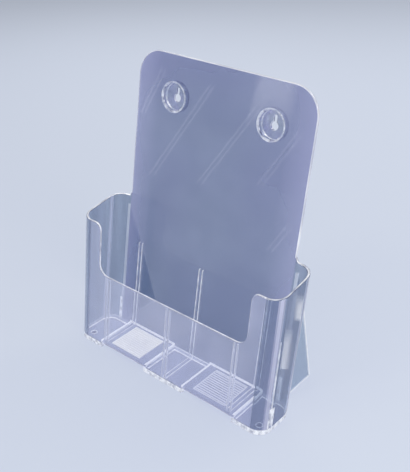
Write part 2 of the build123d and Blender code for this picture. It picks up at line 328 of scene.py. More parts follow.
FINISHES = (
    HiddenJoint(),
    # White haze on the edge faces: partly the scatter of the moulded edges, partly a painted highlight for
    # the light that clear edges gather and mirror.
    ClearPlastic("bright_edge", CLEAR, WHITE, share=0.58, variation=0.34, scale=90.0),
    ClearPlastic("panel_edge", CLEAR, WHITE, share=0.66, variation=0.34, scale=16.0),
    ClearPlastic(
        "panel_sheet", (0.69, 0.75, 0.88), DUSK, share=0.485, variation=0.07, shade=(0.88, 0.89, 0.93),
        cloud=MAUVE, fade=("Z", 0.16, 0.29), bloom=(0.36, 0.36, 0.58), bloom_from=(0.070, 0.11),
    ),
    ClearPlastic(
        "wall_sheet", CLEAR, (0.78, 0.79, 0.96), share=0.16, variation=0.04, scale=30.0,
        cloud=(0.70, 0.72, 0.93), bloom=(0.54, 0.57, 0.75), bloom_from=(0.091, 0.108),
    ),
    ClearPlastic(
        "side_sheet", (0.53, 0.605, 0.72), (0.35, 0.375, 0.53), share=0.22, variation=0.09, scale=80.0,
        stretch=TALL, cloud=(0.045, 0.08, 0.16), fade=("Y", -0.035, 0.0),
    ),
    # Painted highlights: lilac haze bands up the round corners, where the curved walls would mirror light;
    # the faint copy softens their sides.
    ClearPlastic("corner_glow", (0.72, 0.76, 0.88), LILAC, 0.42, 0.16, scale=60.0, stretch=TALL),
    ClearPlastic("faint_glow", (0.66, 0.71, 0.83), LILAC, 0.22, 0.12, scale=60.0, stretch=TALL),
    ClearPlastic("foot_sheet", (0.44, 0.49, 0.63), (0.22, 0.25, 0.41), share=0.31, variation=0.05),
    # The feet's edges: white haze that breaks into spots, partly the edges' scatter and partly painted
    # glints.
    ClearPlastic("foot_edge", CLEAR, WHITE, share=0.76, variation=0.38, scale=220.0),
    # Painted glints: white haze in fine spots where the side walls meet the feet, and inside the returns at
    # the fins' feet.
    ClearPlastic("junction_sparkle", CLEAR, WHITE, 0.66, 0.66, scale=260.0, stretch=(1.0, 1.0, 0.4)),
    # Painted highlight: near-white lines where light gathers along the raised floors' steps, ends and cove,
    # and round the fins' outlines.
    ClearPlastic("bright_seam", CLEAR, WHITE, share=0.92, variation=0.12, scale=120.0),
    # The ridged pad: its white crests are a painted highlight along the ridge tops.
    ClearPlastic("ridge_bed", CLEAR, (0.33, 0.36, 0.50), share=0.42, variation=0.06, scale=120.0),
    ClearPlastic("ridge_crest", CLEAR, WHITE, share=0.60, variation=0.08, scale=60.0),
    # The left pad's whiter copy of the ridged finish: a painted sheen where the left pad mirrors a lamp;
    # both pads are the same plastic.
    ClearPlastic("frosted_bed", CLEAR, (0.90, 0.88, 0.80), share=0.66, variation=0.10, scale=60.0),
    ClearPlastic("frosted_crest", CLEAR, (0.93, 0.92, 0.84), share=0.92, variation=0.08, scale=60.0),
    ClearPlastic("rail_sheet", CLEAR, WHITE, share=0.12),
    ClearPlastic("cup_sheet", (0.72, 0.77, 0.88), DUSK, 0.40, variation=0.1, scale=160.0, cloud=MAUVE),
    # The cups' bright ring is partly a painted highlight; the broken white spots by their floors are
    # painted glints.
    ClearPlastic("cup_rim", CLEAR, (0.74, 0.77, 0.85), share=0.38, variation=0.42, scale=190.0),
    ClearPlastic("cup_glint", CLEAR, WHITE, share=0.20, variation=0.75, scale=230.0),
    ClearPlastic("fin_sheet", (0.50, 0.60, 0.69), (0.27, 0.30, 0.47), share=0.14, variation=0.05),
    # Painted light: the fin's face against the panel shows as a white strip, for light that the fin guides
    # from its rear edges.
    ClearPlastic("fin_root", CLEAR, WHITE, share=0.62, variation=0.2, scale=60.0, stretch=TALL),
)


class Palette:
    """The finished materials of each kind of piece, in the order that Skin gives."""

    def __init__(self) -> None:
        """Mixes every finish once."""
        self.made = {finish.name: finish.build() for finish in FINISHES}
        self.panel = self.pick("panel_sheet panel_edge inside_joint")
        self.wall = self.pick("wall_sheet bright_edge inside_joint")
        self.side = self.pick("side_sheet bright_edge inside_joint corner_glow faint_glow junction_sparkle")
        self.foot = self.pick("foot_sheet foot_edge inside_joint")
        self.floor = self.pick("foot_sheet bright_seam inside_joint")
        # The left pad takes the copy with the painted sheen.
        self.pads = {
            "left": self.pick("frosted_bed frosted_crest inside_joint"),
            "right": self.pick("ridge_bed ridge_crest inside_joint"),
        }
        self.rail = self.pick("rail_sheet bright_edge inside_joint")
        self.cup = self.pick("cup_sheet cup_rim inside_joint cup_glint")
        self.fin = self.pick("fin_sheet bright_seam fin_root")

    def pick(self, names: str) -> Finishes:
        """Looks up the materials by their names."""
        return [self.made[name] for name in names.split()]


# -------- the bench


def deselect_all() -> None:
    """Leaves edit mode and clears the selection, so that nothing is changed by accident."""
    if bpy.context.mode != "OBJECT":
        bpy.ops.object.mode_set(mode="OBJECT")
    bpy.ops.object.select_all(action="DESELECT")


def where(item: Element) -> tuple[Vector, Vector]:
    """Tells where an element lies.

    Args:
        item: A corner, an edge or a face.

    Returns:
        Its middle, and the way that it points.
    """
    if isinstance(item, Face):
        return item.calc_center_median(), item.normal
    if isinstance(item, Edge):
        start, end = (corner.co for corner in item.verts)
        return (start + end) / 2, (end - start).normalized()
    return item.co, item.normal


def anywhere(*_: Vector) -> bool:
    """True for every place."""
    return True


class Workpiece:
    """One mesh on the bench, shaped with edit-mode operators and tagged with Skin slots."""

    def __init__(self, name: str, finishes: Finishes) -> None:
        """Takes the active object as the piece and opens it for editing.

        Args:
            name: The piece's name.
            finishes: Its materials, in Skin order.
        """
        self.object = bpy.context.object
        self.object.name = name
        self.object.data.name = name
        for finish in finishes:
            self.object.data.materials.append(finish)
        bpy.ops.object.transform_apply(location=True, rotation=True, scale=True)
        bpy.ops.object.mode_set(mode="EDIT")

    @property
    def mesh(self) -> bmesh.types.BMesh:
        """The mesh as edit mode holds it."""
        return bmesh.from_edit_mesh(self.object.data)

    @contextmanager
    def closed(self) -> Iterator[None]:
        """Leaves edit mode for a while."""
        bpy.ops.object.mode_set(mode="OBJECT")
        yield
        bpy.ops.object.mode_set(mode="EDIT")

    def choose(self, part: Part, test: Callable[[Element], bool]) -> int:
        """Selects the elements that pass a test, and nothing else.

        Args:
            part: What is selected.
            test: Called with each element of the mesh.

        Returns:
            How many were selected.
        """
        bpy.ops.mesh.select_mode(type=part.value)
        bpy.ops.mesh.select_all(action="DESELECT")
        mesh = self.mesh
        kinds = {Part.CORNERS: mesh.verts, Part.EDGES: mesh.edges, Part.FACES: mesh.faces}
        found = [item for item in kinds[part] if test(item)]
        for item in found:
            item.select_set(True)
        bmesh.update_edit_mesh(self.object.data)
        return len(found)

    def pick(self, part: Part, test: Test) -> int:
        """Selects the elements whose middle and way pass a test, and counts them."""
        return self.choose(part, lambda item: test(*where(item)))

    def move(self, test: PlaceTest, offset: Point) -> None:
        """Moves the corners whose place passes a test."""
        if self.pick(Part.CORNERS, lambda at, out: test(at)):
            bpy.ops.transform.translate(value=offset)

    def inset(self, width: float) -> None:
        """Draws a frame inside the selected faces, which end up smaller and still selected."""
        bpy.ops.mesh.inset(thickness=width)

    def sink(self, depth: float) -> None:
        """Presses the selected faces straight down, and gives the hollow its walls."""
        bpy.ops.mesh.extrude_region_move(TRANSFORM_OT_translate={"value": (0, 0, -depth)})

    def repeat(self, offset: Point) -> None:
        """Copies what is selected, and leaves the copy selected."""
        bpy.ops.mesh.duplicate_move(TRANSFORM_OT_translate={"value": offset})

    def bevel(self, radius: float, flats: int, skin: int = -1) -> None:
        """Rounds the selected edges, in a slot, or in their faces' own where it is -1."""
        bpy.ops.mesh.bevel(offset=radius, segments=flats, affect="EDGES", material=skin)

    def tag_chosen(self, skin: Skin) -> None:
        """Gives the selected faces a material slot."""
        self.object.active_material_index = skin
        bpy.ops.object.material_slot_assign()

    def tag(self, skin: Skin, test: Test = anywhere, over: Skin | None = None) -> None:
        """Gives faces a material slot.

        Args:
            skin: The slot.
            test: Called with the middle and the normal of each face.
            over: Limits this to the faces that had one slot.
        """
        for face in self.mesh.faces:
            if over in (None, face.material_index) and test(*where(face)):
                face.material_index = skin
        bmesh.update_edit_mesh(self.object.data)

    def cut(self, point: Point, normal: Point, cap: Skin | None = None, only: Test = anywhere) -> None:
        """Cuts along a plane.

        Args:
            point: A point on the plane.
            normal: The plane's normal.
            cap: Drops what lies on the normal's side, and closes the cut in this slot.
            only: Limits the cut to the faces whose middle and normal pass this test.
        """
        self.pick(Part.FACES, only)
        ends = cap is not None
        bpy.ops.mesh.bisect(plane_co=point, plane_no=normal, use_fill=ends, clear_outer=ends)
        if ends:
            self.tag_plane(cap, point, normal)

    def mark_below(self, skin: Skin, height: float, test: Test) -> None:
        """Cuts sheet faces at a height and tags what lies below.

        Args:
            skin: The slot below the cut.
            height: Where the cut is.
            test: Picks the sheet faces by their middle and normal.
        """
        bare = Skin.SHEET
        self.choose(Part.FACES, lambda face: face.material_index == bare and test(*where(face)))
        bpy.ops.mesh.bisect(plane_co=(0, 0, height), plane_no=UP)
        self.tag(skin, lambda at, out: at.z < height and test(at, out), bare)

    def tag_plane(self, skin: Skin, point: Point, normal: Point, test: PlaceTest = anywhere) -> None:
        """Tags the faces that lie in a plane.

        Args:
            skin: Their new slot.
            point: A point on the plane.
            normal: The plane's normal.
            test: Limits this to the faces whose middle passes.
        """
        origin, axis = Vector(point), Vector(normal).normalized()
        for face in self.mesh.faces:
            flat = all(abs((corner.co - origin) @ axis) < NEAR for corner in face.verts)
            if flat and test(face.calc_center_median()):
                face.material_index = skin
        bmesh.update_edit_mesh(self.object.data)

    def round_edges(
        self, radius: float, test: PlaceTest = anywhere, flats: int = ROUND_FLATS, skin: Skin = Skin.EDGE
    ) -> None:
        """Rounds the edges where a sheet face meets an edge face.

        Args:
            radius: The rounding's radius.
            test: Limits the rounding to the edges whose middle passes.
            flats: How many flats it is made of.
            skin: The rounding's slot.
        """

        def is_free(edge: Edge) -> bool:
            """True for an edge between a sheet face and an edge face."""
            slots = {face.material_index for face in edge.link_faces}
            return slots == {Skin.SHEET, Skin.EDGE} and test(where(edge)[0])

        if self.choose(Part.EDGES, is_free):
            self.bevel(radius, flats, skin)

    def round_corner(self, radius: float, test: Test, flats: int = ROUND_FLATS) -> None:
        """Rounds the edges whose middle and way pass a test, keeping their faces' slots."""
        if self.pick(Part.EDGES, test):
            self.bevel(radius, flats)

    def place(self, matrix: Matrix) -> None:
        """Takes the piece from the plane that it was drawn on to its place in the rack.

        Args:
            matrix: The plane's place.
        """
        with self.closed():
            self.object.matrix_world = matrix
            bpy.ops.object.transform_apply(location=True, rotation=True, scale=True)

    def lean(self, lay: "Layout", rise: float, level: float, test: PlaceTest = anywhere) -> None:
        """Moves the corners at a level back as far as the walls lean over a rise.

        Args:
            lay: Gives the two leans, and the middle between the walls.
            rise: The height that the corners lie above where they were drawn.
            level: Their height.
            test: Limits this to the corners whose place passes.
        """
        for rear in (True, False):  # the rear first: front corners may lean past the middle
            shift = rise * math.tan(lay.lean if rear else lay.front_lean)
            self.move(
                lambda at: abs(at.z - level) < NEAR and (at.y > lay.middle_y) == rear and test(at),
                (0, shift, 0),
            )

    def take_up(self) -> None:
        """Makes this piece the selected and active object."""
        deselect_all()
        self.object.select_set(True)
        bpy.context.view_layer.objects.active = self.object

    def apply(self, kind: str, **settings: object) -> None:
        """Shapes the piece with a modifier.

        Args:
            kind: The modifier's type.
            settings: Its properties.
        """
        modifier = self.object.modifiers.new(kind.lower(), kind)
        for key, value in settings.items():
            setattr(modifier, key, value)
        bpy.ops.object.modifier_apply(modifier=modifier.name)

    def drill(self, cutter: "Workpiece") -> None:
        """Takes the cutter's shape away from this piece, and puts the cutter away.

        Args:
            cutter: The piece that has the hole's shape.
        """
        with self.closed():
            self.take_up()
            self.apply("BOOLEAN", operation="DIFFERENCE", solver="EXACT", object=cutter.object)
            bpy.data.objects.remove(cutter.object)

    def thicken(self, thickness: float) -> None:
        """Turns a skin into a wall that grows inwards from it."""
        with self.closed():
            self.apply("SOLIDIFY", thickness=thickness, offset=-1.0, use_even_offset=True)

    def as_cutter(self, skin: Skin) -> "Workpiece":
        """Puts the piece aside as a cutter.

        Args:
            skin: The slot of the faces that it leaves.

        Returns:
            The piece.
        """
        self.tag(skin)
        bpy.ops.object.mode_set(mode="OBJECT")
        return self

    def finish(self) -> Item:
        """Smooths the round faces and keeps the flat ones flat.

        Returns:
            The piece's object.
        """
        bpy.ops.mesh.select_all(action="SELECT")
        bpy.ops.mesh.remove_doubles(threshold=SAME)
        self.take_up()
        bpy.ops.object.shade_smooth_by_angle(angle=SMOOTH_ANGLE)
        self.apply("WEIGHTED_NORMAL", keep_sharp=True)
        return self.object


# -------- the rack's main faces


@dataclass(frozen=True)
class Layout:
    """Where the moulding's main faces lie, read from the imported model."""

    half_width: float
    front_y: float  # front wall's outer face, on the ground
    panel_y: float  # panel's front face, on the ground
    panel_half: float
    panel_top: float  # distance up the panel to its top edge
    corner_x: float
    foot_top: float
    lip_top: float
    rim_rear: float
    centre_foot_x: float
    side_foot_x: float
    lean: float = math.radians(9.0)
    front_lean: float = math.radians(7.2)
    wall: float = 2.4 * MM
    panel_thickness: float = 2.6 * MM
    panel_edge: float = 0.8 * MM
    shoulder: float = 4.5 * MM

    @classmethod
    def read(cls) -> "Layout":
        """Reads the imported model's boxes.

        Returns:
            The layout.
        """
        low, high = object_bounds()
        panel_low, panel_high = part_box("back_panel")
        wall_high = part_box("front_wall")[1]
        side_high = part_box("right_side_wall")[1]
        edge = cls.panel_edge
        return cls(
            half_width=high.x,
            front_y=low.y,
            panel_y=panel_low.y - panel_low.z * math.tan(cls.lean),
            panel_half=panel_high.x,
            panel_top=(high.z - edge + edge * math.sin(cls.lean)) / math.cos(cls.lean) + edge,
            corner_x=wall_high.x,
            foot_top=panel_low.z,
            lip_top=wall_high.z,
            rim_rear=side_high.z - cls.shoulder * math.cos(cls.lean),
            centre_foot_x=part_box("centre_foot")[1].x,
            side_foot_x=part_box("right_foot")[0].x,
        )

    @staticmethod
    def leaning(angle: float, y: float) -> Matrix:
        """A plane that leans back from the ground: x to the right, y up the slant, z out."""
        sine, cosine = math.sin(angle), math.cos(angle)
        return Matrix(((1, 0, 0, 0), (0, sine, -cosine, y), (0, cosine, sine, 0), (0, 0, 0, 1)))

    @property
    def panel_plane(self) -> Matrix:
        """The panel's front face."""
        return self.leaning(self.lean, self.panel_y)

    @property
    def front_plane(self) -> Matrix:
        """The front wall's outer face."""
        return self.leaning(self.front_lean, self.front_y)

    @property
    def side_plane(self) -> Matrix:
        """The right side wall's outer face: x runs back, y up and z out."""
        turn = Matrix(((0, 0, 1), (1, 0, 0), (0, 1, 0))).to_4x4()
        return Matrix.Translation((self.half_width, 0, 0)) @ turn

    def panel_front(self, z: float) -> float:
        """The y of the panel's front face at a height."""
        return self.panel_y + z * math.tan(self.lean)

    def panel_back(self, z: float) -> float:
        """The y of the panel's back face at a height."""
        return self.panel_front(z) + self.panel_thickness / math.cos(self.lean)

    def front_outer(self, z: float) -> float:
        """The y of the front wall's outer face at a height."""
        return self.front_y + z * math.tan(self.front_lean)

    def front_inner(self, z: float) -> float:
        """The y of the front wall's inner face at a height."""
        return self.front_outer(z) + self.wall / math.cos(self.front_lean)

    @property
    def rim_point(self) -> Vector:
        """A point of the rim's plane, at the panel's back."""
        return Vector((0, self.panel_back(self.rim_rear), self.rim_rear))

    @property
    def rim_normal(self) -> Vector:
        """The rim's upward normal. The rim falls from the panel to the front wall."""
        run = self.rim_point.y - self.front_inner(self.lip_top)
        return Vector((0, self.lip_top - self.rim_rear, run)).normalized()

    @property
    def middle_y(self) -> float:
        """Halfway between the front wall and the panel, on the ground."""
        return (self.front_y + self.panel_y) / 2

    def in_front(self, place: Vector) -> bool:
        """True for a place in the front half of the pocket."""
        return place.y < self.middle_y + place.z * math.tan(self.lean)

    @property
    def foot_ends(self) -> Point:
        """The x at which the feet end, from left to right."""
        return -self.side_foot_x, -self.centre_foot_x, self.centre_foot_x, self.side_foot_x

    def over_a_foot(self, place: Vector) -> bool:
        """True for a place above one of the three feet."""
        return not self.centre_foot_x <= abs(place.x) <= self.side_foot_x

    def on_panel(self, node: str) -> Matrix:
        """The panel's plane, moved to the middle of a CAD node's box."""
        low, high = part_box(node)
        local = self.panel_plane.inverted() @ ((low + high) / 2)
        return self.panel_plane @ Matrix.Translation((local.x, local.y, 0))


def hand_over(piece: Item, node: str) -> Item:
    """Puts a finished piece in the rack in place of its CAD node.

    Args:
        piece: The finished piece.
        node: The CAD node that it stands for.

    Returns:
        The piece.
    """
    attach(piece, BODY)
    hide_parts(node)
    LOG.info("%s: %d faces", piece.name, len(piece.data.polygons))
    return piece


# -------- sub-assemblies


@dataclass
class SubAssembly:
    """What every kind of moulded piece has: its place in the rack and its finishes."""

    layout: Layout
    finishes: Finishes

    def box(self, name: str, low: Point, high: Point) -> Workpiece:
        """Starts a piece from a box.

        Args:
            name: The piece's name.
            low: The box's least corner.
            high: The opposite corner.

        Returns:
            The piece.
        """
        deselect_all()
        middle = [(a + b) / 2 for a, b in zip(low, high)]
        size = [b - a for a, b in zip(low, high)]
        bpy.ops.mesh.primitive_cube_add(size=1.0, location=middle, scale=size)
        return Workpiece(name, self.finishes)

    def disc(self, name: str, radius: float, low: float, high: float, sides: int = 64) -> Workpiece:
        """Starts a piece from an upright cylinder on the Z axis.

        Args:
            name: The piece's name.
            radius: The cylinder's radius.
            low: Where it starts on the axis.
            high: Where it ends.
            sides: How many flats it has.

        Returns:
            The piece.
        """
        deselect_all()
        middle, depth = (0, 0, (low + high) / 2), high - low
        bpy.ops.mesh.primitive_cylinder_add(vertices=sides, radius=radius, depth=depth, location=middle)
        return Workpiece(name, self.finishes)

    def round_outside(self, piece: Workpiece, sign: int, radius: float) -> None:
        """Rounds the upright edges on one side of the rack.

        Args:
            piece: The piece.
            sign: The side's direction along x.
            radius: The rounding's radius.
        """
        outside = self.layout.half_width - NEAR
        piece.round_corner(
            radius, lambda at, way: abs(way.z) > ALONG and sign * at.x > outside, OUTSIDE_FLATS
        )


@dataclass
class BackPanel(SubAssembly):
    """The tall leaning panel, round at its top corners, with a hole for each cup."""

    corner: float = 24.8 * MM
    corner_flats: int = 20
    hole_radius: float = 14.3 * MM
    hole_reach: float = 10.0 * MM
    seam: float = 1.3 * MM  # a painted highlight: the bright line where the panel meets the centre foot

    def build(self) -> Item:
        """Shapes the panel lying on its own plane, then stands it up.

        Returns:
            The piece.
        """
        lay, half, top = self.layout, self.layout.panel_half, self.layout.panel_top
        piece = self.box("panel", (-half, 0, -lay.panel_thickness), (half, top, 0))
        piece.round_corner(
            self.corner, lambda at, way: at.y > top - NEAR and abs(way.z) > ALONG, self.corner_flats
        )
        # The panel's edges are free above the side walls' shoulders
        shoulder = lay.rim_rear / math.cos(lay.lean) + lay.shoulder
        piece.cut((0, shoulder, 0), REAR)
        piece.tag(Skin.EDGE, lambda at, out: abs(out.z) < SLANTED and at.y > shoulder - NEAR)
        piece.tag(Skin.JOINT, lambda at, out: abs(out.x) > ALONG and at.y < shoulder - NEAR)
        piece.round_edges(lay.panel_edge)
        for x in lay.foot_ends:
            piece.cut((x, 0, 0), RIGHT)
        piece.place(lay.panel_plane)
        base = (0, 0, lay.foot_top)
        piece.cut(base, DOWN, cap=Skin.EDGE)
        piece.tag_plane(Skin.JOINT, base, UP, lay.over_a_foot)
        # Paints the panel's lowest strip over the centre foot bright, a painted highlight.
        piece.mark_below(
            Skin.EDGE,
            lay.foot_top + self.seam,
            lambda at, out: out.y < -ALONG and abs(at.x) < lay.centre_foot_x,
        )
        for side in SIDES:
            cutter = self.disc("cutter", self.hole_radius, -self.hole_reach, self.hole_reach)
            cutter.place(lay.on_panel(f"{side}_keyhole_cup"))
            piece.drill(cutter.as_cutter(Skin.JOINT))
        return hand_over(piece.finish(), "back_panel")


@dataclass
class KeyholeCup(SubAssembly):
    """A round recess through the panel, with a keyhole in its floor for a wall screw."""

    side: str
    radius: float = 14.3 * MM
    wall: float = 2.0 * MM
    recess: float = 5.8 * MM
    floor: float = 2.0 * MM
    mouth: float = 1.2 * MM
    mouth_flats: int = 4
    hole_radius: float = 3.7 * MM
    hole_drop: float = 1.4 * MM
    slot_width: float = 3.2 * MM
    slot_reach: float = 9.5 * MM
    back_edge: float = 1.0 * MM
    hole_edge: float = 0.35 * MM
    glow: float = 1.0 * MM  # how much of the outer wall, from its back end, is painted white: a painted highlight in the ring
    glint: float = 2.2 * MM  # how far up the inner wall the painted glints by the floor reach
    near_wall: float = 0.6 * MM  # the floor's outer edge lies this close to the inner wall
    turned: Span = (0.15, 0.85)  # how far up or down the faces of a rounding point
    drill_reach: float = 20.0 * MM
    clearance: float = 1.0 * MM  # how far the drill starts above the floor
    drill_sides: int = 40

    def build(self) -> Item:
        """Turns the cup, cuts its keyhole and sets it in the panel.

        Returns:
            The piece.
        """
        thick, deep = self.layout.panel_thickness, self.recess + self.floor
        inner, least, most = self.radius - self.wall, *self.turned
        wall = inner + self.wall / 2
        piece = self.disc("cup", self.radius, -deep, 0)
        piece.pick(Part.FACES, lambda at, out: out.z > ALONG)
        piece.inset(self.wall)
        piece.sink(self.recess)
        piece.round_corner(
            self.mouth,
            lambda at, way: abs(at.z) < NEAR and abs(way.z) < ACROSS and at.xy.length < inner + NEAR,
            self.mouth_flats,
        )
        piece.tag(Skin.EDGE, lambda at, out: out.z > least and at.z > -self.mouth)
        piece.cut((0, 0, -thick), UP)
        piece.tag(Skin.JOINT, lambda at, out: abs(out.z) < ACROSS and at.xy.length > wall and at.z > -thick)
        piece.round_corner(self.back_edge, lambda at, way: abs(at.z + deep) < NEAR and at.xy.length > wall)
        glow, glint = self.glow - deep, self.glint - self.recess
        for height in (glow, glint):
            piece.cut((0, 0, height), UP, only=lambda at, out: abs(out.z) < ACROSS)
        # Painted glints up the inner wall's foot, and a painted highlight round the outer wall's back end.
        piece.tag(Skin.GLOW, lambda at, out: abs(out.z) < ACROSS and at.z < glint and at.xy.length < wall)
        piece.tag(Skin.EDGE, lambda at, out: least < -out.z < most)
        piece.tag(Skin.EDGE, lambda at, out: abs(out.z) < ACROSS and at.z < glow and at.xy.length > wall)
        for cutter in self.keyhole():
            piece.drill(cutter)
        # The floor's edge by the inner wall is rounded in painted glints; the keyhole's edges in the bright
        # rim finish.
        for skin, reach in ((Skin.GLOW, inner - self.near_wall), (Skin.EDGE, 0.0)):
            piece.round_edges(
                self.hole_edge,
                lambda at: abs(at.z + self.recess) < NEAR and at.xy.length > reach,
                flats=THIN_FLATS,
                skin=skin,
            )
        node = f"{self.side}_keyhole_cup"
        piece.place(self.layout.on_panel(node))
        piece.object.name = f"{self.side}_cup"
        return hand_over(piece.finish(), node)

    def keyhole(self) -> Iterable[Workpiece]:
        """Shapes the cutters for the round hole, the slot above it and the slot's round end.

        Returns:
            The three cutters, one after the other.
        """
        low, high = -self.drill_reach, self.clearance - self.recess
        half = self.slot_width / 2
        top = self.slot_reach - half - self.hole_drop
        for radius, y in ((self.hole_radius, -self.hole_drop), (half, top)):
            cutter = self.disc("cutter", radius, low, high, self.drill_sides)
            cutter.place(Matrix.Translation((0, y, 0)))
            yield cutter.as_cutter(Skin.EDGE)
        cutter = self.box("cutter", (-half, -self.hole_drop, low), (half, top, high))
        yield cutter.as_cutter(Skin.EDGE)


@dataclass
class FrontWall(SubAssembly):
    """The flat front wall, with the cut-out that leaves a lip at each side."""

    sill: float = 80.8 * MM
    lip_reach: float = 28.0 * MM
    lip_radius: float = 7.0 * MM
    lip_flats: int = 8
    cutout_radius: float = 11.0 * MM
    cutout_flats: int = 10
    lip_fall: float = 2.0 * MM  # the rim falls less than this across the wall
    cutter_reach: float = 10.0 * MM
    cutter_rise: float = 2.0  # times the height of the lips, well clear of the rim
    edge: float = 0.5 * MM

    def build(self) -> Item:
        """Stands a plate up, cuts the opening and rounds its rim.

        Returns:
            The piece.
        """
        lay = self.layout
        wide, tall = lay.corner_x, SPARE * lay.lip_top
        piece = self.box("front", (-wide, 0, -lay.wall), (wide, tall, 0))
        piece.place(lay.front_plane)
        base = (0, 0, lay.foot_top)
        piece.cut(base, DOWN, cap=Skin.EDGE)
        piece.cut(lay.rim_point, lay.rim_normal, cap=Skin.EDGE)
        for x in (-wide, wide):
            piece.tag_plane(Skin.JOINT, (x, 0, 0), RIGHT)
        piece.drill(self.opening())
        lip_x, lip_low = lay.half_width - self.lip_reach, lay.lip_top - self.lip_fall
        piece.round_corner(
            self.lip_radius,
            lambda at, way: abs(abs(at.x) - lip_x) < NEAR and at.z > lip_low and abs(way.y) > ALONG,
            self.lip_flats,
        )
        piece.round_edges(self.edge, skin=Skin.SHEET)
        for x in lay.foot_ends:
            piece.cut((x, 0, 0), RIGHT, only=lambda at, out: at.z < self.sill)
        piece.tag_plane(Skin.JOINT, base, UP, lay.over_a_foot)
        return hand_over(piece.finish(), "front_wall")

    def opening(self) -> Workpiece:
        """Shapes the cutter for the opening, round at its two lower corners.

        Returns:
            The cutter.
        """
        lay, reach = self.layout, self.cutter_reach
        lip_x, sill = lay.half_width - self.lip_reach, self.sill / math.cos(lay.front_lean)
        low, high = (-lip_x, sill, -reach), (lip_x, self.cutter_rise * lay.lip_top, reach)
        cutter = self.box("cutter", low, high)
        cutter.round_corner(
            self.cutout_radius, lambda at, way: abs(way.z) > ALONG and at.y < sill + NEAR, self.cutout_flats
        )
        cutter.place(lay.front_plane)
        return cutter.as_cutter(Skin.EDGE)


